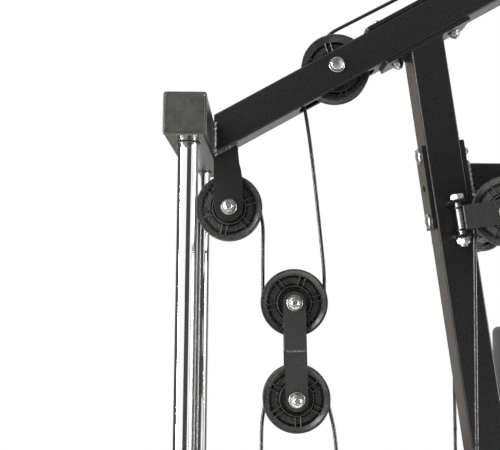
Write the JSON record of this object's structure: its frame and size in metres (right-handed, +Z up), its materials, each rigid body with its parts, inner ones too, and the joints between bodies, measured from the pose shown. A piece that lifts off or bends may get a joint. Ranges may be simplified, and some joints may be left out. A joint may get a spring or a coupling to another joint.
{
  "type": "multi gym",
  "caption": "Home multi gym with weight stack, floating pulley block, sloping slotted top beam, lat bar, butterfly arms, seat and leg lever.",
  "frame": {"origin": "bottom centre of the bounding box, on the floor", "axes": "+Z up, +X from the weight stack towards the user's seat, +Y to the user's right-hand side seen from the stack"},
  "size_m": [1.184, 1.101, 2.1106],
  "materials": {
    "powder_coat": "fine-textured black powder coat",
    "chrome": "polished",
    "zinc": "zinc plated",
    "nylon": "black nylon, slight sheen",
    "cap_plastic": "moulded grey",
    "rubber": "matte",
    "cable_sheath": "nylon-coated steel cable",
    "cast_iron": "dark enamel",
    "vinyl": "grained black vinyl",
    "foam": "foam"
  },
  "bodies": {
    "frame": {"rear_stabiliser": "powder_coat", "front_stabiliser": "powder_coat", "base_rail": "powder_coat", "guide_rod_near": "chrome", "guide_rod_far": "chrome", "stack_bumper": "rubber", "head_tube": "powder_coat", "head_cap_near": "cap_plastic", "head_cap_far": "cap_plastic", "top_beam": "powder_coat", "beam_clamp_plate": "powder_coat", "upright": "powder_coat", "upright_backing_plate": "powder_coat", "butterfly_frame": "powder_coat", "swivel_bracket_near": "powder_coat", "swivel_bracket_far": "powder_coat", "hinge_bolt_near": "zinc", "hinge_bolt_far": "zinc", "seat_frame": "powder_coat", "seat_pad": "vinyl", "back_pad": "vinyl", "lever_axle": "zinc", "upper_roller_near": "foam", "upper_roller_far": "foam", "high_cable": "cable_sheath", "low_cable": "cable_sheath", "butterfly_cable": "cable_sheath", "resting_plates": "cast_iron", "stack_pulley_axle": "zinc", "beam_pulley_axle": "zinc"},
    "stack_carriage": {"lifted_plates": "cast_iron", "top_plate": "cast_iron", "selector_stem": "chrome"},
    "pin": {"selector_pin": "rubber"},
    "stack_sheave": {"stack_pulley": "nylon"},
    "beam_sheave": {"beam_pulley": "nylon"},
    "lat_sheave": {"lat_pulley": "nylon"},
    "rear_sheave": {"base_pulley_rear": "nylon"},
    "return_sheave": {"base_pulley_return": "nylon"},
    "front_sheave": {"base_pulley_front": "nylon"},
    "floating_block": {"block_strap_upper": "powder_coat", "block_strap_lower": "powder_coat", "block_axle_upper": "zinc", "block_axle_lower": "zinc"},
    "upper_sheave": {"block_pulley_upper": "nylon"},
    "lower_sheave": {"block_pulley_lower": "nylon"},
    "hanging_block": {"butterfly_block": "powder_coat"},
    "hanging_sheave": {"butterfly_pulley": "nylon"},
    "fork_near": {"swivel_fork_near": "powder_coat"},
    "fork_far": {"swivel_fork_far": "powder_coat"},
    "fork_sheave_near": {"swivel_pulley_near": "nylon"},
    "fork_sheave_far": {"swivel_pulley_far": "nylon"},
    "arm_near": {"butterfly_arm_near": "powder_coat", "arm_pad_near": "foam"},
    "arm_far": {"butterfly_arm_far": "powder_coat", "arm_pad_far": "foam"},
    "lever": {"leg_lever": "powder_coat", "lower_roller_near": "foam", "lower_roller_far": "foam"},
    "bar": {"lat_bar": "chrome"}
  },
  "joints": [
    {"name": "stack_lift", "type": "slide", "parent": "frame", "child": "stack_carriage", "axis": [0, 0, 1], "range_m": [0, 0.7], "deforming": ["high_cable"]},
    {"name": "selector_pin_pull", "type": "slide", "parent": "stack_carriage", "child": "pin", "axis": [-1, 0, 0], "range_m": [0, 0.08]},
    {"name": "stack_pulley_spin", "type": "hinge", "parent": "frame", "child": "stack_sheave", "pos_m": [-0.4463, 0, 1.6123], "axis": [0, 1, 0], "continuous": true},
    {"name": "beam_pulley_spin", "type": "hinge", "parent": "frame", "child": "beam_sheave", "pos_m": [-0.30163, 0, 1.80704], "axis": [0, 1, 0], "continuous": true},
    {"name": "lat_pulley_spin", "type": "hinge", "parent": "frame", "child": "lat_sheave", "pos_m": [0.16717, 0, 2.0661], "axis": [0, 1, 0], "continuous": true},
    {"name": "lat_bar_pull", "type": "slide", "parent": "frame", "child": "bar", "axis": [0, 0, -1], "range_m": [0, 0.7]},
    {"name": "block_drop", "type": "slide", "parent": "frame", "child": "floating_block", "axis": [0, 0, -1], "range_m": [0, 0.12], "stiffness_N_per_m": 120, "springref_m": -0.3, "deforming": ["low_cable"]},
    {"name": "upper_block_spin", "type": "hinge", "parent": "floating_block", "child": "upper_sheave", "pos_m": [-0.3571, 0, 1.4844], "axis": [0, 1, 0], "continuous": true},
    {"name": "lower_block_spin", "type": "hinge", "parent": "floating_block", "child": "lower_sheave", "pos_m": [-0.3533, 0, 1.3568], "axis": [0, 1, 0], "continuous": true},
    {"name": "rear_base_spin", "type": "hinge", "parent": "frame", "child": "rear_sheave", "pos_m": [-0.358, 0, 0.113], "axis": [0, 1, 0], "continuous": true},
    {"name": "front_base_spin", "type": "hinge", "parent": "frame", "child": "front_sheave", "pos_m": [0.462, 0, 0.113], "axis": [0, 1, 0], "continuous": true},
    {"name": "leg_lever_swing", "type": "hinge", "parent": "frame", "child": "lever", "pos_m": [0.547, 0, 0.395], "axis": [0, -1, 0], "range_deg": [0, 75]},
    {"name": "hanging_block_lift", "type": "slide", "parent": "frame", "child": "hanging_block", "axis": [0, 0, 1], "range_m": [0, 0.0765], "deforming": ["butterfly_cable"]},
    {"name": "hanging_pulley_spin", "type": "hinge", "parent": "hanging_block", "child": "hanging_sheave", "pos_m": [-0.127, 0, 0.62], "axis": [1, 0, 0], "continuous": true},
    {"name": "return_base_spin", "type": "hinge", "parent": "frame", "child": "return_sheave", "pos_m": [-0.1687, 0, 0.19], "axis": [0, 1, 0], "continuous": true},
    {"name": "arm_swing_near", "type": "hinge", "parent": "frame", "child": "arm_near", "pos_m": [0.067, -0.07, 1.626], "axis": [0, 0, 1], "range_deg": [0, 80]},
    {"name": "arm_swing_far", "type": "hinge", "parent": "frame", "child": "arm_far", "pos_m": [0.067, 0.07, 1.626], "axis": [0, 0, -1], "range_deg": [0, 80]},
    {"name": "fork_turn_near", "type": "hinge", "parent": "frame", "child": "fork_near", "pos_m": [-0.1437, -0.05, 1.596], "axis": [-0.1413, 0, 0.99], "range_deg": [-20, 20]},
    {"name": "fork_turn_far", "type": "hinge", "parent": "frame", "child": "fork_far", "pos_m": [-0.1437, 0.05, 1.596], "axis": [-0.1413, 0, 0.99], "range_deg": [-20, 20]},
    {"name": "fork_pulley_spin_near", "type": "hinge", "parent": "fork_near", "child": "fork_sheave_near", "pos_m": [-0.08806, -0.071, 1.60394], "axis": [0.3464, 0.9368, 0.0494], "continuous": true},
    {"name": "fork_pulley_spin_far", "type": "hinge", "parent": "fork_far", "child": "fork_sheave_far", "pos_m": [-0.08806, 0.071, 1.60394], "axis": [-0.3464, 0.9368, -0.0494], "continuous": true}
  ],
  "couplings": [
    {"joint": "lat_bar_pull", "follows": "stack_lift", "ratio": 1},
    {"joint": "stack_pulley_spin", "follows": "stack_lift", "rad_per_m": 23.981},
    {"joint": "upper_block_spin", "follows": "stack_lift", "rad_per_m": -23.981},
    {"joint": "beam_pulley_spin", "follows": "stack_lift", "rad_per_m": 23.981},
    {"joint": "lat_pulley_spin", "follows": "stack_lift", "rad_per_m": 23.981},
    {"joint": "leg_lever_swing", "follows": "block_drop", "rad_per_m": 10.9},
    {"joint": "lower_block_spin", "follows": "block_drop", "rad_per_m": -23.981},
    {"joint": "rear_base_spin", "follows": "block_drop", "rad_per_m": -47.962},
    {"joint": "front_base_spin", "follows": "block_drop", "rad_per_m": -47.962},
    {"joint": "arm_swing_near", "follows": "hanging_block_lift", "rad_per_m": 18.18},
    {"joint": "arm_swing_far", "follows": "hanging_block_lift", "rad_per_m": 18.18},
    {"joint": "fork_pulley_spin_near", "follows": "hanging_block_lift", "rad_per_m": 23.981},
    {"joint": "fork_pulley_spin_far", "follows": "hanging_block_lift", "rad_per_m": 23.981},
    {"joint": "return_base_spin", "follows": "hanging_block_lift", "rad_per_m": -23.981}
  ]
}
